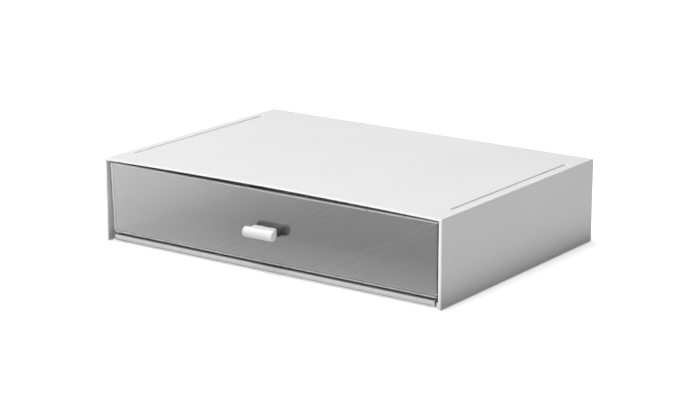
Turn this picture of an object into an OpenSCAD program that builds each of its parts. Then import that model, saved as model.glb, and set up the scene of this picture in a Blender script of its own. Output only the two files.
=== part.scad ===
// Desktop drawer box: a white cabinet with one smoky clear drawer.
// X runs across the width, Y from the front to the back, Z up.
// The origin is on the desk, at the middle of the box that encloses the whole object.

/* [Cabinet] */
// Width over the side walls
case_w = 330; // [280:5:400]
// Depth from the side walls' front edges to the back face
case_d = 230; // [200:5:300]
// Height of the side walls
case_h = 70; // [60:1:120]
// Thickness of the side walls
wall_t = 2.3; // [2:0.1:3]
// Thickness of the back wall
back_t = 2.2; // [1.8:0.1:3]
// Thickness of the top
top_t = 1.6; // [1.4:0.1:1.8]
// Rise of the top at the middle of its front edge
crown = 1.9; // [0:0.1:2.5]

/* [Stacking] */
// Length of the two grooves in the top
groove_l = 175; // [100:5:190]
// Width of a groove
groove_w = 2.8; // [2.6:0.1:3.2]
// Depth of a groove
groove_depth = 1.2; // [1.1:0.1:1.4]
// Distance from a side face to the middle of its groove
groove_inset = 9.5; // [9:0.5:11]
// How far the soft strips stand out below the side walls
strip_drop = 1; // [0.6:0.1:1]
// Width of a soft strip
strip_w = 2.4; // [2:0.1:2.5]

/* [Base plate] */
// Height of the plate's upper face above the side walls' bottom edges
plate_top = 5.1; // [5:0.1:6]
// Thickness of the plate
plate_t = 2; // [1.6:0.1:2.2]
// Distance of the sill behind the side walls' front edges
sill_set = 2.7; // [2:0.1:4]
// Gap between each end of the sill and the outer side face
sill_end = 7; // [6:0.5:8]
// Distance from the middle to the inner rail of a pair
rail_x = 47; // [40:1:55]
// Distance between the two rails of a pair
rail_pitch = 13.5; // [10:0.5:16]

/* [Drawer] */
// Height of the drawer's underside above the side walls' bottom edges
drawer_low = 6.7; // [6.7:0.1:8.5]
// Gap between the drawer's rim and the cabinet's top edge
rim_down = 3.3; // [3:0.1:4.2]
// Thickness of the drawer's walls
tray_t = 2; // [1.8:0.1:2.5]
// Thickness of the drawer's floor
tray_floor = 2; // [1.8:0.1:2.5]
// Gap between the rim and the inside of each side wall
side_gap = 2; // [1.5:0.1:2.4]
// Draft of the side walls over their height
side_draft = 0.7; // [0.3:0.1:1.5]
// Distance of the rim behind the side walls' front edges
rim_set = 1.8; // [0.5:0.1:2.5]
// Draft of the front and of the back over their height
front_draft = 1.8; // [1:0.1:3]
// Corner radius of the drawer, outside
tray_r = 1.5; // [1.2:0.1:2]
// Corner radius of the drawer, inside
tray_in_r = 1.2; // [1:0.1:2]
// How far the drawer slides out
travel = 170; // [100:5:175]

/* [Handle] */
// Length of the handle bar
bar_l = 28.5; // [28:0.5:60]
// Diameter of the handle bar
bar_d = 8.6; // [8.4:0.1:9]
// How far the bar stands out in front of the side walls
bar_reach = 10.5; // [10.5:0.5:14]
// Height of the bar's axis above the side walls' bottom edges
bar_z = 33.8; // [25:0.1:45]
// Width of the stem block
stem_w = 21.5; // [20:0.5:26]
// Height of the stem block
stem_h = 7.6; // [7:0.1:8]
// Distance between the two handle screws
screw_pitch = 12; // [10:0.5:13]

/* [Hidden] */

$fn = 48;
eps = 0.01;

// Places
front_y = (bar_reach - case_d) / 2;
back_y = front_y + case_d;
mid_y = front_y + case_d / 2;
wall_x = case_w / 2 - wall_t;
back_in = back_y - back_t;
z0 = strip_drop;
top_z = z0 + case_h;
plate_z = z0 + plate_top;
groove_x = case_w / 2 - groove_inset;

// Thicker pad under each groove
pad_margin = 1.5;
pad_t = 0.7;

// Drawer, and the room behind it
rim_z = top_z - rim_down;
tray_z = z0 + drawer_low;
rear_room = 4.1;
bumper_gap = 0.3;
rim_x = wall_x - side_gap;
rim_front = front_y + rim_set;
rim_back = back_in - rear_room;
lean = atan(front_draft / (rim_z - tray_z));
side_lean = atan(side_draft / (rim_z - tray_z));
function drop(z) = (rim_z - z) / (rim_z - tray_z);
function tray_x(z) = rim_x - side_draft * drop(z);
function tray_front(z) = rim_front + front_draft * drop(z);
function tray_back(z) = rim_back - front_draft * drop(z);

// Drawer stops under the top, which catch the inside of the drawer's back
stop_x = 100;
stop_w = 14;
stop_t = 3;
stop_low = rim_z - 1.1;
stop_gap = 0.3;
stop_back = tray_back(rim_z) - tray_t - travel - stop_gap;

// Bumpers on the back wall, which the closed drawer rests against
bumper_w = 6;
bumper_h = 10;
bumper_down = 2;

// Snap lugs on the side walls and the back wall, spaced by a share of the wall's length
lug_l = 12;
lug_out = side_gap - 0.2;
lug_h = 1.4;
lug_step = 0.3;

// Base plate, its sill, the rails on it and the ribs, skirt and strip channels under it
plate_gap = 0.3;
plate_x = wall_x - plate_gap;
plate_back = back_in - plate_gap;
notch_d = 10;
sill_t = 2.4;
sill_bevel = 1.5;
sill_low = 0.3;
rail_start = 13;
rail_w = 1.6;
rail_end = 4;
rail_top = tray_z - 0.3;
skirt_t = 1.6;
skirt_in = 12;
skirt_back = 6;
rib_t = 1.4;
rib_step_x = 0.17;
rib_step_y = 0.25;
rib_rise = 0.8;
channel_t = 1.3;
channel_rise = 0.4;
strip_l = groove_l - 3;

// Handle, in a frame whose Y axis is square to the leaning drawer front
bar_y = front_y - bar_reach + bar_d / 2;
grip_z = z0 + bar_z;
standoff = (tray_front(grip_z) - bar_y) * cos(lean);
bar_round = 1.3;
pilot_r = 1.2;
pilot_l = 7;
shank_r = 1.4;
tip_gap = 0.5;
shank_l = pilot_l + tray_t - tip_gap;
clear_r = 1.7;
washer_r = 3.6;
washer_t = 0.7;
head_r = 2.8;
head_h = 1.9;
cross_w = 0.8;
cross_l = 3.2;
cross_d = 1.1;

// Gap that keeps the stem and the washers off the drawer's faces
face_gap = 0.02;

// ---- shared shapes ----

module mirrored_x() {
    children();
    mirror([1, 0, 0]) children();
}

// A bar with half-round ends that runs along Y, centred on x, standing on z
module runner(x, length, width, z, height) {
    straight = length - width;
    translate([x - width / 2, mid_y - straight / 2, z]) cube([width, straight, height]);
    for (end = [-1, 1])
        translate([x, mid_y + end * straight / 2, z]) cylinder(d = width, h = height);
}

// ---- cabinet shell ----

// The top's rise: a bow across the width that fades out towards the back
top_cells_x = 24;
top_cells_y = 10;
function rise(u, v) = crown * (1 - pow(2 * u - 1, 2)) * pow(1 - v, 1.5);
function top_point(i, j, z) =
    let (u = i / top_cells_x, v = j / top_cells_y)
    [case_w * (u - 0.5), front_y + case_d * v, z + rise(u, v)];

module crowned_top() {
    nx = top_cells_x;
    ny = top_cells_y;
    layer = (nx + 1) * (ny + 1);
    at = function (i, j, k) k * layer + j * (nx + 1) + i;
    points = [for (k = [0, 1], j = [0:ny], i = [0:nx]) top_point(i, j, top_z - top_t * (1 - k))];
    faces = concat(
        [for (j = [0:ny - 1], i = [0:nx - 1]) each [
            [at(i, j, 1), at(i, j + 1, 1), at(i + 1, j + 1, 1)],
            [at(i, j, 1), at(i + 1, j + 1, 1), at(i + 1, j, 1)],
            [at(i, j, 0), at(i + 1, j + 1, 0), at(i, j + 1, 0)],
            [at(i, j, 0), at(i + 1, j, 0), at(i + 1, j + 1, 0)]]],
        [for (i = [0:nx - 1]) each [
            [at(i, 0, 0), at(i, 0, 1), at(i + 1, 0, 1), at(i + 1, 0, 0)],
            [at(i, ny, 0), at(i + 1, ny, 0), at(i + 1, ny, 1), at(i, ny, 1)]]],
        [for (j = [0:ny - 1]) each [
            [at(0, j, 0), at(0, j + 1, 0), at(0, j + 1, 1), at(0, j, 1)],
            [at(nx, j, 0), at(nx, j, 1), at(nx, j + 1, 1), at(nx, j + 1, 0)]]]);
    polyhedron(points, faces);
}

module walls() {
    wall_h = case_h - top_t / 2;
    mirrored_x() translate([wall_x, front_y, z0]) cube([wall_t, case_d, wall_h]);
    translate([-wall_x - eps, back_in, z0]) cube([2 * wall_x + 2 * eps, back_t, wall_h]);
}

// Lugs above and below the base plate's edge hold it in place
module snap_lugs() {
    mirrored_x() for (k = [-1:1]) translate([wall_x, mid_y + k * lug_step * case_d - lug_l / 2, 0]) {
        translate([-lug_out, 0, plate_z]) cube([lug_out + eps, lug_l, lug_h]);
        translate([0, lug_l, plate_z - plate_t]) rotate([90, 0, 0])
            linear_extrude(lug_l) polygon([[eps, 0], [-lug_out, 0], [eps, -lug_h]]);
    }
    for (k = [-1:1]) translate([k * lug_step * case_w - lug_l / 2, back_in - lug_out, plate_z])
        cube([lug_l, lug_out + eps, lug_h]);
}

module rear_bumpers() {
    depth = rear_room - bumper_gap;
    low = rim_z - bumper_down - bumper_h;
    mirrored_x() translate([stop_x - bumper_w / 2, back_in - depth, low])
        cube([bumper_w, depth + eps, bumper_h]);
}

module drawer_stops() {
    root_z = top_z - top_t / 2 + rise(0.5 + stop_x / case_w, (stop_back - front_y) / case_d);
    mirrored_x() translate([stop_x - stop_w / 2, stop_back - stop_t, stop_low])
        cube([stop_w, stop_t, root_z - stop_low]);
}

// The top is thicker under each groove
module groove_floors() {
    around = 2 * pad_margin;
    low = top_z - top_t - pad_t;
    mirrored_x() runner(groove_x, groove_l + around, groove_w + around, low, pad_t + top_t / 2);
}

module cabinet_shell() {
    color("white") difference() {
        union() {
            crowned_top();
            walls();
            snap_lugs();
            rear_bumpers();
            drawer_stops();
            groove_floors();
        }
        mirrored_x() runner(groove_x, groove_l, groove_w, top_z - groove_depth, groove_depth + 1);
    }
}

// ---- base plate ----

module plate_outline() {
    sill_x = case_w / 2 - sill_end;
    polygon([[-sill_x, front_y + sill_set + sill_t / 2], [sill_x, front_y + sill_set + sill_t / 2],
             [sill_x, front_y + notch_d], [plate_x, front_y + notch_d], [plate_x, plate_back],
             [-plate_x, plate_back], [-plate_x, front_y + notch_d], [-sill_x, front_y + notch_d]]);
}

// The turned-down front edge, with a bevel along its foot
module sill() {
    sill_x = case_w / 2 - sill_end;
    translate([-sill_x, front_y + sill_set, z0]) rotate([90, 0, 90])
        linear_extrude(2 * sill_x)
            polygon([[0, sill_low + sill_bevel], [sill_bevel, sill_low], [sill_t, sill_low],
                     [sill_t, plate_top], [0, plate_top]]);
}

module slide_rails() {
    rail_l = plate_back - front_y - rail_start - rail_end;
    mirrored_x() for (k = [0, 1])
        translate([rail_x + k * rail_pitch - rail_w / 2, front_y + rail_start, plate_z - eps])
            cube([rail_w, rail_l, rail_top - plate_z + eps]);
}

module under_ribs() {
    rib_h = plate_top - plate_t - rib_rise;
    rib_z = plate_z - plate_t - rib_h;
    side = plate_x - skirt_in;
    rear = plate_back - skirt_back;
    front = front_y + sill_set + sill_t;
    translate([-side, rear - skirt_t, rib_z]) cube([2 * side, skirt_t, rib_h + eps]);
    mirrored_x() translate([side - skirt_t, front - eps, rib_z]) cube([skirt_t, rear - front, rib_h + eps]);
    for (k = [-1:1]) translate([-side, mid_y + k * rib_step_y * case_d - rib_t / 2, rib_z])
        cube([2 * side, rib_t, rib_h + eps]);
    for (k = [-1:1]) translate([k * rib_step_x * case_w - rib_t / 2, front - eps, rib_z])
        cube([rib_t, rear - front, rib_h + eps]);
}

// Two walls around each soft strip
module strip_channels() {
    channel_h = plate_top - plate_t - channel_rise;
    low = plate_z - plate_t - channel_h;
    around = 2 * channel_t;
    mirrored_x() difference() {
        runner(groove_x, strip_l + around, strip_w + around, low, channel_h + eps);
        runner(groove_x, strip_l, strip_w, low - 1, channel_h + 1);
    }
}

module base_plate() {
    color("white") union() {
        translate([0, 0, plate_z - plate_t]) linear_extrude(plate_t) plate_outline();
        sill();
        slide_rails();
        under_ribs();
        strip_channels();
    }
}

// ---- soft strips ----

module strip(side) {
    runner(side * groove_x, strip_l, strip_w, 0, plate_z - plate_t);
}

module strip_left() { color("gainsboro") strip(-1); }
module strip_right() { color("gainsboro") strip(1); }

// ---- drawer ----

// A tub with draft, set in by inset from the drawer's outer faces.
// Four balls at the floor and four discs at the top touch its planes.
module tub(low, high, r, inset) {
    ball_z = low + r;
    ball_x = tray_x(ball_z) - (inset + r) / cos(side_lean);
    disc_x = tray_x(high) - inset / cos(side_lean) - r;
    ball_in = (inset + r) / cos(lean);
    disc_in = inset / cos(lean) + r;
    hull() for (side = [-1, 1]) {
        for (y = [tray_front(ball_z) + ball_in, tray_back(ball_z) - ball_in])
            translate([side * ball_x, y, ball_z]) sphere(r, $fn = 32);
        for (y = [tray_front(high) + disc_in, tray_back(high) - disc_in])
            translate([side * disc_x, y, high - eps]) cylinder(r = r, h = eps, $fn = 32);
    }
}

module drawer_tray() {
    color("dimgray", 0.5) difference() {
        tub(tray_z, rim_z, tray_r, 0);
        tub(tray_z + tray_floor, rim_z + 1, tray_in_r, tray_t);
        on_front() for (side = [-1, 1]) translate([side * screw_pitch / 2, -1, 0])
            rotate([-90, 0, 0]) cylinder(r = clear_r, h = tray_t + 2);
    }
}

// ---- handle ----

// Puts its children on the drawer front: origin on the outer face behind the bar, -Y straight out
module on_front() {
    translate([0, tray_front(grip_z), grip_z]) rotate([lean, 0, 0]) children();
}

module bar() {
    half = bar_l / 2;
    r = bar_d / 2;
    edge = [for (a = [0:15:90])
        [r - bar_round * (1 - sin(a)), half - bar_round * (1 - cos(a))]];
    far_edge = [for (a = [90:-15:0])
        [r - bar_round * (1 - sin(a)), bar_round * (1 - cos(a)) - half]];
    rotate([0, 90, 0]) rotate_extrude($fn = 64)
        polygon(concat([[0, half]], edge, far_edge, [[0, -half]]));
}

module handle() {
    color("white") on_front() difference() {
        union() {
            translate([0, -standoff, 0]) bar();
            translate([-stem_w / 2, -standoff, -stem_h / 2]) cube([stem_w, standoff - face_gap, stem_h]);
        }
        for (side = [-1, 1]) translate([side * screw_pitch / 2, -pilot_l, 0])
            rotate([-90, 0, 0]) cylinder(r = pilot_r, h = pilot_l + 1);
    }
}

module handle_screws() {
    seat = tray_t + face_gap + washer_t;
    color("silver") on_front() for (side = [-1, 1]) translate([side * screw_pitch / 2, 0, 0])
        difference() {
            union() {
                translate([0, seat - shank_l, 0]) rotate([-90, 0, 0])
                    cylinder(r = shank_r, h = shank_l + eps);
                translate([0, seat, 0]) rotate([-90, 0, 0]) cylinder(r = head_r, h = head_h);
            }
            for (turn = [0, 90]) translate([0, seat + head_h, 0]) rotate([0, turn, 0])
                cube([cross_l, 2 * cross_d, cross_w], center = true);
        }
}

module handle_washers() {
    color("gainsboro") on_front() for (side = [-1, 1])
        translate([side * screw_pitch / 2, tray_t + face_gap, 0]) rotate([-90, 0, 0]) difference() {
            cylinder(r = washer_r, h = washer_t);
            translate([0, 0, -1]) cylinder(r = clear_r, h = washer_t + 2);
        }
}

cabinet_shell();
base_plate();
strip_left();
strip_right();
drawer_tray();
handle();
handle_screws();
handle_washers();
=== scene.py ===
import math

import bmesh
import bpy
from mathutils import Matrix, Vector


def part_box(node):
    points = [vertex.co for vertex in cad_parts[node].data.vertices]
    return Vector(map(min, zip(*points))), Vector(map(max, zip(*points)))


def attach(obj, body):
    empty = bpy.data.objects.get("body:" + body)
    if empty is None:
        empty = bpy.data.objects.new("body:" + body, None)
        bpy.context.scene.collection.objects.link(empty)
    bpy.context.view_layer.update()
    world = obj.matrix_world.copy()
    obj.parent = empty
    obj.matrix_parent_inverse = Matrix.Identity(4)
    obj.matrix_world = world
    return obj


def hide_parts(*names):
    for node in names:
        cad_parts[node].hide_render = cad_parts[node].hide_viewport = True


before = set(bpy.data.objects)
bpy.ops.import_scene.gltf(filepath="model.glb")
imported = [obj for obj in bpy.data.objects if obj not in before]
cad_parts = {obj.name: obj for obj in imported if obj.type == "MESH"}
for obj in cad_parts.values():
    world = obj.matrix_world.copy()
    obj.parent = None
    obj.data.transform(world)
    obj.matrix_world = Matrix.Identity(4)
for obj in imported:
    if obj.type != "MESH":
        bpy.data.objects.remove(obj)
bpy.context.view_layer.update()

MM = 0.001

# ---- driving sizes, the same as in the CAD source, in metres ----
WALL = 2.3 * MM
BACK = 2.2 * MM
TOP = 1.6 * MM
CROWN = 1.9 * MM
GROOVE_L = 175 * MM
GROOVE_W = 2.8 * MM
GROOVE_DEPTH = 1.2 * MM
GROOVE_INSET = 9.5 * MM
PLATE_UP = 5.1 * MM
PLATE_T = 2.0 * MM
TRAY_T = 2.0 * MM
TRAY_R = 1.5 * MM
TRAY_IN_R = 1.2 * MM
SIDE_DRAFT = 0.7 * MM
FRONT_DRAFT = 1.8 * MM
TRAVEL = 170 * MM
BAR_D = 8.6 * MM
GRIP_UP = 33.8 * MM
STEM_W = 21.5 * MM
STEM_H = 7.6 * MM
SCREW_PITCH = 12 * MM
SCREW_SEAT = 2.72 * MM  # from the drawer front's outer face to the underside of the screw's head
RAIL_GAP = 0.3 * MM

# ---- places, from the frame ----
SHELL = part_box("cabinet_shell")
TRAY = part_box("drawer_tray")
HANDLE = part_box("handle")
FRONT_Y = SHELL[0].y
BACK_Y = SHELL[1].y
CASE_W = SHELL[1].x - SHELL[0].x
CASE_D = BACK_Y - FRONT_Y
MID_Y = (FRONT_Y + BACK_Y) / 2
FOOT_Z = SHELL[0].z
TOP_Z = SHELL[1].z - CROWN
TRAY_Z = TRAY[0].z
RIM_Z = TRAY[1].z


# ---- mesh helpers ----

def new_object(name, mesh):
    piece = bpy.data.objects.new(name, mesh)
    bpy.context.scene.collection.objects.link(piece)
    return piece


def from_bmesh(name, bm):
    bmesh.ops.recalc_face_normals(bm, faces=bm.faces)
    mesh = bpy.data.meshes.new(name)
    bm.to_mesh(mesh)
    bm.free()
    return new_object(name, mesh)


def block(name, low, high):
    """A plain block between two corners, used as a tool or as stock for a shape."""
    bm = bmesh.new()
    bmesh.ops.create_cube(bm, size=1)
    low, high = Vector(low), Vector(high)
    for v in bm.verts:
        v.co = Vector((low[k] + (v.co[k] + 0.5) * (high[k] - low[k]) for k in range(3)))
    return from_bmesh(name, bm)


def loft(name, rings, marks=None):
    """A closed solid through a stack of rings. marks(level, k) is true for faces with the second material."""
    bm = bmesh.new()
    rows = [[bm.verts.new(point) for point in ring] for ring in rings]
    count = len(rows[0])
    for level, (low, high) in enumerate(zip(rows, rows[1:])):
        for k in range(count):
            n = (k + 1) % count
            face = bm.faces.new((low[k], low[n], high[n], high[k]))
            face.material_index = 1 if marks and marks(level, k) else 0
    bm.faces.new(rows[0])
    bm.faces.new(rows[-1])
    return from_bmesh(name, bm)


STADIUM_STEPS = 12
CORNER_STEPS = 6


def stadium(name, x, y, length, width, z_low, z_high):
    """An upright block with half-round ends, lying along Y."""
    r = width / 2
    reach = length / 2 - r
    turns = [math.pi * k / STADIUM_STEPS for k in range(STADIUM_STEPS + 1)]
    outline = [(x + r * math.cos(t), y + reach + r * math.sin(t)) for t in turns]
    outline += [(x - r * math.cos(t), y - reach - r * math.sin(t)) for t in turns]
    return loft(name, [[(px, py, z) for px, py in outline] for z in (z_low, z_high)])


def rounded_ring(x, front, back, z, front_r, back_r):
    """A level rounded rectangle, from -x to x and from front to back, with its own radius at each end."""
    ring = []
    corners = [(x - back_r, back - back_r, back_r), (back_r - x, back - back_r, back_r),
               (front_r - x, front + front_r, front_r), (x - front_r, front + front_r, front_r)]
    for quarter, (cx, cy, r) in enumerate(corners):
        for k in range(CORNER_STEPS + 1):
            t = math.pi / 2 * (quarter + k / CORNER_STEPS)
            ring.append((cx + r * math.cos(t), cy + r * math.sin(t), z))
    return ring


def arc(steps):
    """Angles over a quarter turn."""
    return [math.pi / 2 * k / steps for k in range(steps + 1)]


def bake(piece):
    """Replaces a piece's mesh by what its modifiers make of it."""
    graph = bpy.context.evaluated_depsgraph_get()
    mesh = bpy.data.meshes.new_from_object(piece.evaluated_get(graph))
    piece.modifiers.clear()
    piece.data = mesh


def combine(piece, tool, operation):
    """Joins or cuts a closed piece with a closed tool, and removes the tool."""
    cut = piece.modifiers.new("cut", "BOOLEAN")
    cut.operation = operation
    cut.solver = "EXACT"
    cut.object = tool
    bake(piece)
    bpy.data.objects.remove(tool)


BEVEL_ANGLE = math.radians(40)


def add_bevel(piece, width, segments=2):
    """Rounds the edges that turn by more than BEVEL_ANGLE."""
    bevel = piece.modifiers.new("edge_rounding", "BEVEL")
    bevel.width = width
    bevel.segments = segments
    bevel.limit_method = "ANGLE"
    bevel.angle_limit = BEVEL_ANGLE


def weight_normals(piece):
    """Keeps the big faces flat in shading, beside narrow rounded edges."""
    weighted = piece.modifiers.new("weighted_normals", "WEIGHTED_NORMAL")
    weighted.keep_sharp = True


def shade(piece, angle):
    """Shades smoothly across the edges that turn by less than an angle in degrees."""
    piece.data.shade_smooth()
    piece.data.set_sharp_from_angle(angle=math.radians(angle))
    weight_normals(piece)


def slice_mesh(piece, axis, places):
    """Cuts the mesh along planes square to an axis, so that it can bend smoothly between them."""
    bm = bmesh.new()
    bm.from_mesh(piece.data)
    normal = Vector((0, 0, 0))
    normal[axis] = 1
    for place in places:
        bmesh.ops.bisect_plane(bm, geom=bm.verts[:] + bm.edges[:] + bm.faces[:], dist=1e-7,
                               plane_co=normal * place, plane_no=normal)
    bm.to_mesh(piece.data)
    bm.free()


# ---- cabinet shell ----

TOP_ROUND = 0.5 * MM
FRONT_ROUND = 1.1 * MM
BACK_ROUND = 0.4 * MM
EDGE_ROUND = 0.3 * MM
PAD_MARGIN = 1.5 * MM
PAD_T = 0.7 * MM
LUG_L = 12 * MM
LUG_OUT = 1.8 * MM
LUG_H = 1.4 * MM
LUG_STEP = 0.3
PLATE_Z = FOOT_Z + PLATE_UP
STOP_X = 100 * MM
STOP_W = 14 * MM
STOP_T = 3 * MM
STOP_HANG = 1.1 * MM
STOP_GAP = 0.3 * MM
BUMPER_W = 6 * MM
BUMPER_DEPTH = 3.8 * MM
BUMPER_TOP = RIM_Z - 2 * MM
BUMPER_LOW = RIM_Z - 12 * MM
CELLS_X = 24  # strips that the bowed top is cut into, across and along
CELLS_Y = 12
BOW_POWER = 1.5
BOW_FROM = RIM_Z + 0.2 * MM
WALL_X = CASE_W / 2 - WALL
BACK_IN = BACK_Y - BACK
GROOVE_X = CASE_W / 2 - GROOVE_INSET


def rise(x, y):
    """How far the top bows up: most at the middle of the front edge, nothing at the sides and the back."""
    u = (x - SHELL[0].x) / CASE_W
    v = min(max((y - FRONT_Y) / CASE_D, 0), 1)
    return CROWN * max(1 - (2 * u - 1) ** 2, 0) * (1 - v) ** BOW_POWER


def shell_stock():
    """The outer block, with rounded upright edges and rounded edges round the top."""
    def level(z, inset):
        return rounded_ring(CASE_W / 2 - inset, FRONT_Y + inset, BACK_Y - inset, z,
                            FRONT_ROUND - inset, max(BACK_ROUND - inset, 0.05 * MM))
    rings = [level(FOOT_Z, 0)]
    rings += [level(TOP_Z - TOP_ROUND * (1 - math.sin(t)), TOP_ROUND * (1 - math.cos(t))) for t in arc(4)]
    return loft("shell", rings)


def wedge(name, side, y):
    """The lower half of a snap: a flat face under the base plate, and a slope that lets the plate ride in."""
    z = PLATE_Z - PLATE_T
    inner, outer = side * (WALL_X - LUG_OUT), side * (WALL_X + WALL / 2)
    ends = [[(inner, end, z), (outer, end, z), (outer, end, z - LUG_H - LUG_OUT / 2)]
            for end in (y - LUG_L / 2, y + LUG_L / 2)]
    return loft(name, ends)


def shell_additions():
    """Everything that stands out inside the shell: pads, drawer stops, bumpers and snap lugs."""
    stop_back = TRAY[1].y - TRAY_T - TRAVEL - STOP_GAP
    parts = []
    for side in (-1, 1):
        parts.append(stadium("pad", side * GROOVE_X, MID_Y,
                             GROOVE_L + 2 * PAD_MARGIN, GROOVE_W + 2 * PAD_MARGIN,
                             TOP_Z - TOP - PAD_T, TOP_Z - TOP / 2))
        x = side * STOP_X
        parts.append(block("stop", (x - STOP_W / 2, stop_back - STOP_T, RIM_Z - STOP_HANG),
                           (x + STOP_W / 2, stop_back, TOP_Z - TOP / 2)))
        parts.append(block("bumper", (x - BUMPER_W / 2, BACK_IN - BUMPER_DEPTH, BUMPER_LOW),
                           (x + BUMPER_W / 2, BACK_IN + BACK / 2, BUMPER_TOP)))
        for k in (-1, 0, 1):
            y = MID_Y + k * LUG_STEP * CASE_D
            inner, outer = sorted((side * (WALL_X - LUG_OUT), side * (WALL_X + WALL / 2)))
            parts.append(block("lug", (inner, y - LUG_L / 2, PLATE_Z),
                               (outer, y + LUG_L / 2, PLATE_Z + LUG_H)))
            parts.append(wedge("snap", side, y))
    for k in (-1, 0, 1):
        x = k * LUG_STEP * CASE_W
        parts.append(block("lug", (x - LUG_L / 2, BACK_IN - LUG_OUT, PLATE_Z),
                           (x + LUG_L / 2, BACK_IN + BACK / 2, PLATE_Z + LUG_H)))
    return parts


def make_shell():
    piece = shell_stock()
    room = block("room", (-WALL_X, FRONT_Y - MM, FOOT_Z - MM), (WALL_X, BACK_IN, TOP_Z - TOP))
    combine(piece, room, "DIFFERENCE")
    for part in shell_additions():
        combine(piece, part, "UNION")
    for side in (-1, 1):
        groove = stadium("groove", side * GROOVE_X, MID_Y, GROOVE_L, GROOVE_W,
                         TOP_Z - GROOVE_DEPTH, TOP_Z + MM)
        combine(piece, groove, "DIFFERENCE")
    add_bevel(piece, EDGE_ROUND)
    bake(piece)
    slice_mesh(piece, 0, [SHELL[0].x + CASE_W * k / CELLS_X for k in range(1, CELLS_X)])
    slice_mesh(piece, 1, [FRONT_Y + CASE_D * k / CELLS_Y for k in range(1, CELLS_Y)])
    for v in piece.data.vertices:
        if v.co.z > BOW_FROM:
            v.co.z += rise(v.co.x, v.co.y)
    shade(piece, 35)
    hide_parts("cabinet_shell")
    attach(piece, "cabinet")
    return piece


# ---- drawer ----

FOOT_SIDE_R = 3.0 * MM
RIM_OUT_R = 1.0 * MM
RIM_IN_R = 0.4 * MM
FLOOR_Z = TRAY_Z + TRAY_T
LEAN = math.atan(FRONT_DRAFT / (RIM_Z - TRAY_Z))
GRIP_Z = FOOT_Z + GRIP_UP
HOLE_R = 1.7 * MM
FRONT_FROM = 2 * (CORNER_STEPS + 1)  # where the two front corners start in a ring
# The pale edge material is a painted highlight.
HIGHLIGHT_BAND = 2.2 * MM  # how far the pale edge material reaches past the left front corner
BAND = 3 * (CORNER_STEPS + 1) - 1  # the last point of that corner


def drop(z):
    """How far down the drawer a height is, from 0 at the rim to 1 at its underside."""
    return (RIM_Z - z) / (RIM_Z - TRAY_Z)


def tray_front(z):
    return TRAY[0].y + FRONT_DRAFT * drop(z)


def tray_ring(z, inset_x, inset_y, r):
    """The drawer's outline at height z, moved in from its drafted faces, with a point more beside the band."""
    x = TRAY[1].x - SIDE_DRAFT * drop(z) - inset_x
    back = TRAY[1].y - FRONT_DRAFT * drop(z) - inset_y
    ring = rounded_ring(x, tray_front(z) + inset_y, back, z, r, r)
    ring.insert(BAND + 1, (HIGHLIGHT_BAND - x, tray_front(z) + inset_y, z))
    return ring


def foot_rows():
    """Where the sides meet the floor: a wide round seen from the front, a small one seen from the side."""
    rows = []
    for t in arc(10):
        up = FOOT_SIDE_R * (1 - math.cos(t))
        reach = max(TRAY_R - up, 0)
        inset_y = TRAY_R - math.sqrt(TRAY_R ** 2 - reach ** 2)
        rows.append((TRAY_Z + up, FOOT_SIDE_R * (1 - math.sin(t)), inset_y, max(TRAY_R - inset_y, 0.3 * MM)))
    return rows


def rim_rows():
    """Over the rim, from the outer face to the inner face."""
    rows = []
    for t in arc(5):
        inset = RIM_OUT_R * (1 - math.cos(t))
        rows.append((RIM_Z - RIM_OUT_R * (1 - math.sin(t)), inset, inset, TRAY_R - inset))
    for t in arc(4):
        inset = TRAY_T - RIM_IN_R * (1 - math.sin(t))
        rows.append((RIM_Z - RIM_IN_R * (1 - math.cos(t)), inset, inset, 0.5 * MM))
    return rows


def floor_rows():
    """Down the inside and round to the inner floor."""
    rows = []
    for t in arc(5):
        inset = TRAY_T + TRAY_IN_R * (1 - math.cos(t))
        rows.append((FLOOR_Z + TRAY_IN_R * (1 - math.sin(t)), inset, inset, TRAY_IN_R))
    return rows


def make_tray():
    foot, rim, inner = foot_rows(), rim_rows(), floor_rows()
    wall_level = len(foot) - 1
    rim_end = len(foot) + len(rim) - 2
    small_foot = sum(1 for row in foot if row[2] > 0)

    def gets_painted_highlight(level, k):
        """True for the faces with the painted highlight: the rim, the foot of the front and the left front
        corner.
        """
        at_front = k >= FRONT_FROM
        at_corner = at_front and k <= BAND and level <= wall_level
        return (at_front and level < small_foot) or wall_level < level < rim_end or at_corner

    piece = loft("tray", [tray_ring(*row) for row in foot + rim + inner], gets_painted_highlight)
    for side in (-1, 1):
        drill = lathe("drill", [(-TRAY_T, 0), (-TRAY_T, HOLE_R), (2 * TRAY_T, HOLE_R), (2 * TRAY_T, 0)], 32)
        drill.data.transform(screw_place(side))
        on_front(drill)
        combine(piece, drill, "DIFFERENCE")
    shade(piece, 50)
    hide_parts("drawer_tray")
    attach(piece, "drawer")
    return piece


# ---- handle and its screws ----

BAR_Y = HANDLE[0].y + BAR_D / 2
STANDOFF = (tray_front(GRIP_Z) - BAR_Y) * math.cos(LEAN)
BAR_ROUND = 1.3 * MM
STEM_ROUND = 0.9 * MM


def screw_place(side):
    """From a lathe's axis to a screw's axis in the handle's own frame."""
    return Matrix.Translation((side * SCREW_PITCH / 2, 0, 0)) @ Matrix.Rotation(math.pi / 2, 4, "Z")


def on_front(piece):
    """Moves a piece's mesh from the handle's own frame to its place on the leaning drawer front."""
    place = Matrix.Translation((0, tray_front(GRIP_Z), GRIP_Z)) @ Matrix.Rotation(LEAN, 4, "X")
    piece.data.transform(place)


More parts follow.
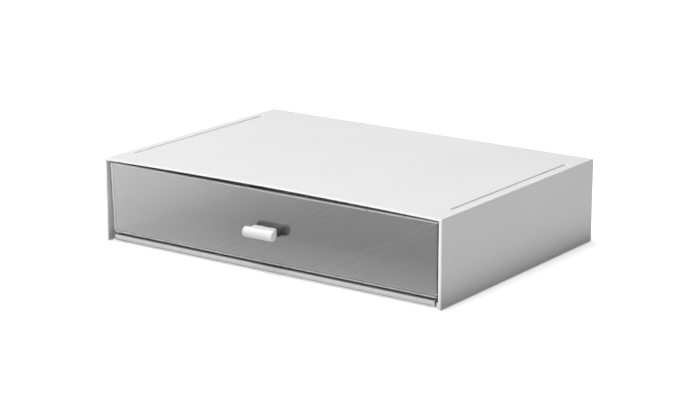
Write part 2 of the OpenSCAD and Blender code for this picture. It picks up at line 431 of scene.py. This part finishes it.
def lathe(name, profile, steps=64):
    """A solid of revolution about X. The profile is (x, radius) from one end of the axis to the other."""
    bm = bmesh.new()
    rings = []
    for x, r in profile:
        if r == 0:
            rings.append([bm.verts.new((x, 0, 0))])
        else:
            turns = [2 * math.pi * k / steps for k in range(steps)]
            rings.append([bm.verts.new((x, r * math.cos(t), r * math.sin(t))) for t in turns])
    for a, b in zip(rings, rings[1:]):
        for k in range(steps):
            n = (k + 1) % steps
            if len(a) == 1:
                bm.faces.new((a[0], b[n], b[k]))
            elif len(b) == 1:
                bm.faces.new((a[k], a[n], b[0]))
            else:
                bm.faces.new((a[k], a[n], b[n], b[k]))
    return from_bmesh(name, bm)


def make_handle():
    half, r = HANDLE[1].x, BAR_D / 2
    end = [(half - BAR_ROUND * (1 - math.cos(t)), r - BAR_ROUND * (1 - math.sin(t))) for t in arc(8)]
    profile = [(-half, 0)] + [(-x, radius) for x, radius in end] + end[::-1] + [(half, 0)]
    piece = lathe("handle_bar", profile)
    piece.data.transform(Matrix.Translation((0, -STANDOFF, 0)))
    stem = block("stem", (-STEM_W / 2, -STANDOFF, -STEM_H / 2), (STEM_W / 2, 0, STEM_H / 2))
    add_bevel(stem, STEM_ROUND, 4)
    bake(stem)
    combine(piece, stem, "UNION")
    on_front(piece)
    shade(piece, 40)
    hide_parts("handle")
    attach(piece, "drawer")
    return piece


SHANK_R = 1.4 * MM
THREAD_IN = 0.22 * MM
THREAD_PITCH = 0.9 * MM
THREAD_TURNS = 6
THREAD_START = 0.2  # in turns, from the tip
SHANK_L = 8.5 * MM
HEAD_R = 2.8 * MM
HEAD_H = 1.9 * MM
HEAD_SIDE = 0.7 * MM
CROSS_W = 0.8 * MM
CROSS_L = 3.2 * MM
CROSS_D = 1.1 * MM


def screw_profile():
    """(distance along the screw, radius) from the tip over the thread to the top of the pan head."""
    tip = SCREW_SEAT - SHANK_L
    profile = [(tip, 0), (tip, SHANK_R - THREAD_IN)]
    for k in range(THREAD_TURNS):
        start = tip + (k + THREAD_START) * THREAD_PITCH
        profile += [(start, SHANK_R - THREAD_IN), (start + THREAD_PITCH / 2, SHANK_R)]
    profile += [(profile[-1][0] + THREAD_PITCH / 2, SHANK_R - THREAD_IN),
                (SCREW_SEAT, SHANK_R - THREAD_IN), (SCREW_SEAT, HEAD_R)]
    dome = HEAD_H - HEAD_SIDE
    profile += [(SCREW_SEAT + HEAD_SIDE + dome * math.sin(t), HEAD_R * math.cos(t)) for t in arc(8)[:-1]]
    return profile + [(SCREW_SEAT + HEAD_H, 0)]


def make_screws():
    """Two pan-head screws with a cross recess, in one piece of two solids."""
    screw = lathe("screw", screw_profile(), 32)
    top = SCREW_SEAT + HEAD_H
    for long_y, long_z in ((CROSS_L, CROSS_W), (CROSS_W, CROSS_L)):
        recess = block("recess", (top - CROSS_D, -long_y / 2, -long_z / 2),
                       (top + CROSS_D, long_y / 2, long_z / 2))
        combine(screw, recess, "DIFFERENCE")
    bm = bmesh.new()
    for side in (-1, 1):
        turned = screw.data.copy()
        turned.transform(screw_place(side))
        bm.from_mesh(turned)
    bpy.data.objects.remove(screw)
    piece = from_bmesh("screws", bm)
    on_front(piece)
    shade(piece, 40)
    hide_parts("handle_screws")
    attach(piece, "drawer")
    return piece


# ---- materials ----

# How close something must lie over the base plate to darken it with painted shade.
PAINTED_SHADE_REACH = 8 * MM
WHITE_IOR = 1.46
CLEAR_IOR = 1.57
EDGE_IOR = 1.5
THROUGH_WALL = 0.83  # the share of a lamp's light that each face of the clear plastic lets through
THROUGH_EDGE = 0.3


def grey(level):
    return (level, level, level)


def neutral(level):
    """A grey that is a trace blue."""
    return (level, level, level + 0.01)

def material(name):
    mat = bpy.data.materials.new(name)
    mat.use_nodes = True
    nodes = mat.node_tree.nodes
    return mat, nodes, mat.node_tree.links, nodes["Principled BSDF"]


def noise(nodes, links, scale, detail=3.0, roughness=0.5):
    coords = nodes.new("ShaderNodeTexCoord")
    tex = nodes.new("ShaderNodeTexNoise")
    tex.inputs["Scale"].default_value = scale
    tex.inputs["Detail"].default_value = detail
    tex.inputs["Roughness"].default_value = roughness
    links.new(coords.outputs["Object"], tex.inputs["Vector"])
    return tex.outputs["Fac"]


def spread(nodes, links, source, low, high, start=0.3, end=0.7):
    """Maps a noise, or another number, to a range."""
    ranged = nodes.new("ShaderNodeMapRange")
    ranged.inputs["From Min"].default_value = start
    ranged.inputs["From Max"].default_value = end
    ranged.inputs["To Min"].default_value = low
    ranged.inputs["To Max"].default_value = high
    links.new(source, ranged.inputs["Value"])
    return ranged.outputs["Result"]


def two_tones(nodes, links, source, dark, light):
    """Clouds of two colours that blend over the middle of a noise."""
    ramp = nodes.new("ShaderNodeValToRGB")
    ramp.color_ramp.elements[0].position = 0.3
    ramp.color_ramp.elements[0].color = (*dark, 1)
    ramp.color_ramp.elements[1].position = 0.7
    ramp.color_ramp.elements[1].color = (*light, 1)
    links.new(source, ramp.inputs["Fac"])
    return ramp.outputs["Color"]


def bump(nodes, links, shader, source, strength, distance):
    node = nodes.new("ShaderNodeBump")
    node.inputs["Strength"].default_value = strength
    node.inputs["Distance"].default_value = distance
    links.new(source, node.inputs["Height"])
    links.new(node.outputs["Normal"], shader.inputs["Normal"])


def white_plastic(name, dark, light, rough):
    """Satin moulded plastic: faint clouds of tone under a very fine grain."""
    mat, nodes, links, shader = material(name)
    cloud = noise(nodes, links, 14, 2)
    links.new(two_tones(nodes, links, cloud, dark, light), shader.inputs["Base Color"])
    grain = noise(nodes, links, 900, 4, 0.6)
    links.new(spread(nodes, links, grain, rough - 0.05, rough + 0.05), shader.inputs["Roughness"])
    bump(nodes, links, shader, grain, 0.12, 0.03 * MM)
    shader.inputs["IOR"].default_value = WHITE_IOR
    return mat


def painted_shade_white(name, dark, light, rough):
    """White plastic with painted shade: ambient occlusion darkens its colour where something lies close over
    it, but not on the rails' tops.
    """
    mat = white_plastic(name, dark, light, rough)
    nodes, links = mat.node_tree.nodes, mat.node_tree.links
    shader = nodes["Principled BSDF"]
    plain = shader.inputs["Base Color"].links[0].from_socket
    # Painted shade: the base colour is darkened under the drawer and in the gaps, where shade falls.
    near = nodes.new("ShaderNodeAmbientOcclusion")
    near.inputs["Distance"].default_value = PAINTED_SHADE_REACH
    near.samples = 8
    links.new(plain, near.inputs["Color"])
    mix = nodes.new("ShaderNodeMix")
    mix.data_type = "RGBA"
    links.new(ramp_along(nodes, links, "Z", PLATE_Z, TRAY_Z - RAIL_GAP, 0, 1), mix.inputs["Factor"])
    links.new(near.outputs["Color"], mix.inputs["A"])
    links.new(plain, mix.inputs["B"])
    links.new(mix.outputs["Result"], shader.inputs["Base Color"])
    return mat


def let_lamps_through(nodes, links, shader, share):
    """Lets the lamps shine straight through a clear wall, so that they light what is behind it."""
    path = nodes.new("ShaderNodeLightPath")
    clear = nodes.new("ShaderNodeBsdfTransparent")
    clear.inputs["Color"].default_value = (share, share, share, 1)
    mix = nodes.new("ShaderNodeMixShader")
    links.new(path.outputs["Is Shadow Ray"], mix.inputs["Fac"])
    links.new(shader.outputs["BSDF"], mix.inputs[1])
    links.new(clear.outputs["BSDF"], mix.inputs[2])
    links.new(mix.outputs["Shader"], nodes["Material Output"].inputs["Surface"])


def smoky_plastic():
    """Polished, see-through smoky grey with a faint haze, and a coat that makes its mirror image stronger."""
    mat, nodes, links, shader = material("smoky_clear")
    cloud = noise(nodes, links, 9, 2)
    links.new(two_tones(nodes, links, cloud, neutral(0.59), neutral(0.62)), shader.inputs["Base Color"])
    haze = noise(nodes, links, 40, 2)
    links.new(spread(nodes, links, haze, 0.02, 0.05), shader.inputs["Roughness"])
    shader.inputs["IOR"].default_value = CLEAR_IOR
    shader.inputs["Coat Weight"].default_value = 0.7
    shader.inputs["Coat IOR"].default_value = CLEAR_IOR
    shader.inputs["Transmission Weight"].default_value = 1.0
    let_lamps_through(nodes, links, shader, THROUGH_WALL)
    return mat


def smoky_painted_highlight():
    """A paler, less clear plastic for the rounded edges, so that they show as pale lines: a painted highlight
    for the light along them.
    """
    mat, nodes, links, shader = material("smoky_painted_highlight")
    cloud = noise(nodes, links, 120, 3)
    # Painted highlight: the edge colour is paler than the wall's.
    links.new(two_tones(nodes, links, cloud, neutral(0.74), neutral(0.84)), shader.inputs["Base Color"])
    links.new(spread(nodes, links, cloud, 0.25, 0.4), shader.inputs["Roughness"])
    shader.inputs["IOR"].default_value = EDGE_IOR
    shader.inputs["Transmission Weight"].default_value = 0.35
    let_lamps_through(nodes, links, shader, THROUGH_EDGE)
    return mat


def soft_rubber():
    mat, nodes, links, shader = material("soft_strip")
    cloud = noise(nodes, links, 80, 3)
    links.new(two_tones(nodes, links, cloud, grey(0.50), grey(0.58)), shader.inputs["Base Color"])
    grain = noise(nodes, links, 1800, 3)
    links.new(spread(nodes, links, grain, 0.65, 0.8), shader.inputs["Roughness"])
    bump(nodes, links, shader, grain, 0.3, 0.05 * MM)
    return mat


def plated_steel():
    mat, nodes, links, shader = material("screw_steel")
    cloud = noise(nodes, links, 600, 3)
    links.new(two_tones(nodes, links, cloud, neutral(0.52), grey(0.66)), shader.inputs["Base Color"])
    links.new(spread(nodes, links, cloud, 0.22, 0.38), shader.inputs["Roughness"])
    shader.inputs["Metallic"].default_value = 1.0
    return mat


def nylon():
    return white_plastic("washer_nylon", (0.66, 0.66, 0.64), (0.72, 0.72, 0.70), 0.5)


def give(piece, *mats):
    """Sets a piece's materials, and keeps which face has which."""
    kept = [face.material_index for face in piece.data.polygons]
    piece.data.materials.clear()
    for mat in mats:
        piece.data.materials.append(mat)
    piece.data.polygons.foreach_set("material_index", kept)


def give_node(name, mat, width=0.25 * MM):
    """A finished material and slightly rounded edges for a CAD node that stays."""
    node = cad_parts[name]
    for k in range(max(len(node.material_slots), 1)):
        if not node.material_slots:
            node.data.materials.append(mat)
        node.material_slots[k].material = mat
    add_bevel(node, width)
    weight_normals(node)


# ---- stage ----
# Several sheets lie in the floor's plane, SHEET_GAP apart, and each is met by some kinds of ray only. So the
# floor can look plain and pale, while the light that the object gets from below is as soft as in the photo.

SHEET_GAP = 0.1 * MM
FLOOR_ALBEDO = 0.9
FLOOR_GLOW = 0.46
FAR_GLOW = 1.05  # the far floor and the backdrop, which come out plain white
FLOOR_REACH = 12
THROUGH_REACH = 8
LIGHT_REACH = 2
CARD_REACH = 3
DOME_R = 14

def glow(name, color, strength, lights_up=False):
    """A matt surface that also shines. With lights_up it is sampled as a lamp too."""
    mat, nodes, links, shader = material(name)
    shader.inputs["Base Color"].default_value = (color, color, color, 1)
    shader.inputs["Roughness"].default_value = 0.9
    shader.inputs["Specular IOR Level"].default_value = 0.0
    shader.inputs["Emission Color"].default_value = (1, 1, 1, 1)
    shader.inputs["Emission Strength"].default_value = strength
    mat.cycles.emission_sampling = "AUTO" if lights_up else "NONE"
    return mat


def ramp_along(nodes, links, axis, start, end, low, high):
    """A number that goes from low to high between two places along an axis."""
    coords = nodes.new("ShaderNodeTexCoord")
    split = nodes.new("ShaderNodeSeparateXYZ")
    links.new(coords.outputs["Object"], split.inputs["Vector"])
    ranged = nodes.new("ShaderNodeMapRange")
    ranged.interpolation_type = "SMOOTHSTEP"
    ranged.inputs["From Min"].default_value = start
    ranged.inputs["From Max"].default_value = end
    ranged.inputs["To Min"].default_value = low
    ranged.inputs["To Max"].default_value = high
    links.new(split.outputs[axis], ranged.inputs["Value"])
    return ranged.outputs["Result"]


def mirror_glow():
    """The card that the drawer's glossy front mirrors: it shines most to the left and close by."""
    mat, nodes, links, shader = material("mirror_glow")
    nodes.remove(shader)
    light = nodes.new("ShaderNodeEmission")
    clear = nodes.new("ShaderNodeBsdfTransparent")
    both = nodes.new("ShaderNodeAddShader")
    links.new(light.outputs["Emission"], both.inputs[0])
    links.new(clear.outputs["BSDF"], both.inputs[1])
    links.new(both.outputs["Shader"], nodes["Material Output"].inputs["Surface"])
    mat.cycles.emission_sampling = "NONE"
    across = ramp_along(nodes, links, "X", -0.30, -0.03, 2.7, 0.2)
    near = ramp_along(nodes, links, "Y", FRONT_Y - 0.1, FRONT_Y, 0.0, 1.0)
    right = ramp_along(nodes, links, "X", -0.17, -0.09, 0.3, 1.0)
    far = ramp_along(nodes, links, "Y", -1.4, FRONT_Y - 0.2, 0.25, 1.0)
    # strength = (near * right + across) * far
    total = nodes.new("ShaderNodeMath")
    total.operation = "MULTIPLY_ADD"
    for source, socket in zip((near, right, across), total.inputs):
        links.new(source, socket)
    faded = nodes.new("ShaderNodeMath")
    faded.operation = "MULTIPLY"
    links.new(total.outputs["Value"], faded.inputs[0])
    links.new(far, faded.inputs[1])
    links.new(faded.outputs["Value"], light.inputs["Strength"])
    return mat


def sheet_of_floor(name, low, high, z, mat, hole=None):
    """A level sheet, with a rectangular hole if one is given."""
    bm = bmesh.new()

    def corners(a, b):
        return [bm.verts.new((x, y, z)) for x, y in ((a[0], a[1]), (b[0], a[1]), (b[0], b[1]), (a[0], b[1]))]

    outer = corners(low, high)
    if hole:
        inner = corners(*hole)
        for k in range(4):
            bm.faces.new((outer[k], outer[(k + 1) % 4], inner[(k + 1) % 4], inner[k]))
    else:
        bm.faces.new(outer)
    sheet = from_bmesh(name, bm)
    give(sheet, mat)
    return sheet


def open_from_below(mat):
    """Lets the camera see through a level sheet from its lower side, to look at the object's underside."""
    nodes, links = mat.node_tree.nodes, mat.node_tree.links
    facing = nodes.new("ShaderNodeNewGeometry")
    clear = nodes.new("ShaderNodeBsdfTransparent")
    mix = nodes.new("ShaderNodeMixShader")
    links.new(facing.outputs["Backfacing"], mix.inputs["Fac"])
    links.new(nodes["Principled BSDF"].outputs["BSDF"], mix.inputs[1])
    links.new(clear.outputs["BSDF"], mix.inputs[2])
    links.new(mix.outputs["Shader"], nodes["Material Output"].inputs["Surface"])
    return mat


def seen_only_by(thing, *rays):
    """Leaves a stage piece visible to the named kinds of ray, and without a shadow."""
    for ray in ("camera", "diffuse", "glossy", "transmission", "shadow"):
        setattr(thing, "visible_" + ray, ray in rays)


def make_backdrop():
    """A white dome far away, behind everything."""
    bm = bmesh.new()
    bmesh.ops.create_uvsphere(bm, u_segments=48, v_segments=24, radius=DOME_R)
    dome = from_bmesh("backdrop", bm)
    give(dome, glow("backdrop_white", 0.0, FAR_GLOW))
    seen_only_by(dome, "camera")


def square(reach):
    return (-reach, -reach), (reach, reach)


def make_floor():
    """The floor that the camera sees, and three more sheets for other rays. Returns the card."""
    pale = open_from_below(glow("pale_floor", FLOOR_ALBEDO, FLOOR_GLOW))
    nodes, links = pale.node_tree.nodes, pale.node_tree.links
    coords = nodes.new("ShaderNodeTexCoord")
    away = nodes.new("ShaderNodeVectorMath")
    away.operation = "LENGTH"
    links.new(coords.outputs["Object"], away.inputs[0])
    links.new(spread(nodes, links, away.outputs["Value"], FLOOR_GLOW, FAR_GLOW, 0.6, 2.0),
              nodes["Principled BSDF"].inputs["Emission Strength"])
    floor = sheet_of_floor("floor", *square(FLOOR_REACH), 0, pale)
    seen_only_by(floor, "camera", "glossy", "shadow")
    through = sheet_of_floor("floor_through_plastic", *square(THROUGH_REACH), -SHEET_GAP,
                             open_from_below(glow("soft_floor", FLOOR_ALBEDO, 0.05)))
    seen_only_by(through, "transmission")
    under_object = (SHELL[0].x - 0.01, FRONT_Y - 0.015), (SHELL[1].x + 0.018, BACK_Y + 0.01)
    bounce = sheet_of_floor("bounce_light", *square(LIGHT_REACH), -2 * SHEET_GAP,
                            glow("bounce_glow", 0.0, 0.8, True), under_object)
    seen_only_by(bounce, "diffuse")
    mirror = sheet_of_floor("mirror_light", (-LIGHT_REACH, -CARD_REACH), (LIGHT_REACH, FRONT_Y - 0.002),
                            SHEET_GAP, mirror_glow())
    seen_only_by(mirror, "glossy")
    return mirror


def light_link(lamp, pieces, state="INCLUDE"):
    """Keeps a lamp's light to some pieces, or off them with the state EXCLUDE."""
    linked = bpy.data.collections.new(lamp.name + "_links")
    for piece in pieces:
        linked.objects.link(piece)
    for entry in linked.collection_objects:
        entry.light_linking.link_state = state
    lamp.light_linking.receiver_collection = linked


def area_light(name, place, target, size, power):
    """A round soft box that faces its target."""
    data = bpy.data.lights.new(name, "AREA")
    data.shape = "DISK"
    data.size = size
    data.energy = power
    lamp = bpy.data.objects.new(name, data)
    bpy.context.scene.collection.objects.link(lamp)
    lamp.location = place
    lamp.rotation_euler = (Vector(target) - Vector(place)).to_track_quat("-Z", "Y").to_euler()
    return lamp


def make_world():
    """Soft light that is bright above and dim below the horizon."""
    world = bpy.data.worlds.new("studio")
    bpy.context.scene.world = world
    world.use_nodes = True
    nodes, links = world.node_tree.nodes, world.node_tree.links
    coords = nodes.new("ShaderNodeTexCoord")
    split = nodes.new("ShaderNodeSeparateXYZ")
    links.new(coords.outputs["Generated"], split.inputs["Vector"])
    ranged = nodes.new("ShaderNodeMapRange")
    ranged.inputs["From Min"].default_value = -0.1
    ranged.inputs["From Max"].default_value = 0.6
    ranged.inputs["To Min"].default_value = 0.03
    ranged.inputs["To Max"].default_value = 0.4
    links.new(split.outputs["Z"], ranged.inputs["Value"])
    links.new(ranged.outputs["Result"], nodes["Background"].inputs["Strength"])
    nodes["Background"].inputs["Color"].default_value = (1, 1, 1, 1)


CAMERA_YAW = math.radians(35.25)
CAMERA_PITCH = math.radians(15.22)
CAMERA_REACH = 1.7376
CAMERA_RIGHT = 1.05 * MM
CAMERA_UP = -8.68 * MM
CAMERA_LENS = 108.14


def make_camera():
    """A long lens, in front of the cabinet and to its right, looking down at its middle."""
    right = Vector((math.cos(CAMERA_YAW), math.sin(CAMERA_YAW), 0))
    back = Vector((math.sin(CAMERA_YAW) * math.cos(CAMERA_PITCH),
                   -math.cos(CAMERA_YAW) * math.cos(CAMERA_PITCH),
                   math.sin(CAMERA_PITCH)))
    up = back.cross(right)
    centre = Vector((0, MID_Y, (FOOT_Z + TOP_Z) / 2))
    data = bpy.data.cameras.new("camera")
    data.sensor_width = 36
    data.lens = CAMERA_LENS
    camera = bpy.data.objects.new("camera", data)
    bpy.context.scene.collection.objects.link(camera)
    camera.location = centre + back * CAMERA_REACH + right * CAMERA_RIGHT + up * CAMERA_UP
    camera.rotation_euler = (math.pi / 2 - CAMERA_PITCH, 0, CAMERA_YAW)
    bpy.context.scene.camera = camera


# ---- the scene ----

make_camera()
make_world()
make_backdrop()
MIRROR = make_floor()
TOP_LAMP = area_light("top_box", (-0.35, -0.3, 1.9), (0, 0, 0), 1.4, 29)
TOP_LAMP.visible_glossy = False
HANDLE_LAMP = area_light("handle_box", (0.6, -0.72, 0.63), (0, HANDLE[0].y, GRIP_Z), 0.4, 5.2)
UNDER_LAMP = area_light("under_box", (0, 0, -1.6), (0, 0, 0), 0.8, 30)
FRONT_LAMP = area_light("front_box", (0.12, -1.7, 0.4), (0, 0, 0.03), 0.7, 15)

WHITE = white_plastic("cabinet_white", grey(0.79), grey(0.81), 0.42)
give(make_shell(), WHITE)
# The base plate gets painted shade where the drawer lies close over it.
give_node("base_plate", painted_shade_white("base_white_painted_shade", grey(0.75), grey(0.77), 0.45))
TRAY_PIECE = make_tray()
# The tray's rim, the foot of its front and its left front corner get the painted highlight.
give(TRAY_PIECE, smoky_plastic(), smoky_painted_highlight())
HANDLE_PIECE = make_handle()
give(HANDLE_PIECE, white_plastic("handle_white", grey(0.77), grey(0.79), 0.35))
light_link(MIRROR, [TRAY_PIECE])
light_link(HANDLE_LAMP, [HANDLE_PIECE])
light_link(FRONT_LAMP, [HANDLE_PIECE], "EXCLUDE")
light_link(UNDER_LAMP, [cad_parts[name] for name in ("base_plate", "strip_left", "strip_right")])
UNDER_LAMP.light_linking.blocker_collection = UNDER_LAMP.light_linking.receiver_collection
RUBBER = soft_rubber()
for strip in ("strip_left", "strip_right"):
    give_node(strip, RUBBER)
give(make_screws(), plated_steel())
give_node("handle_washers", nylon(), 0.1 * MM)

bpy.context.scene.view_settings.view_transform = "Standard"
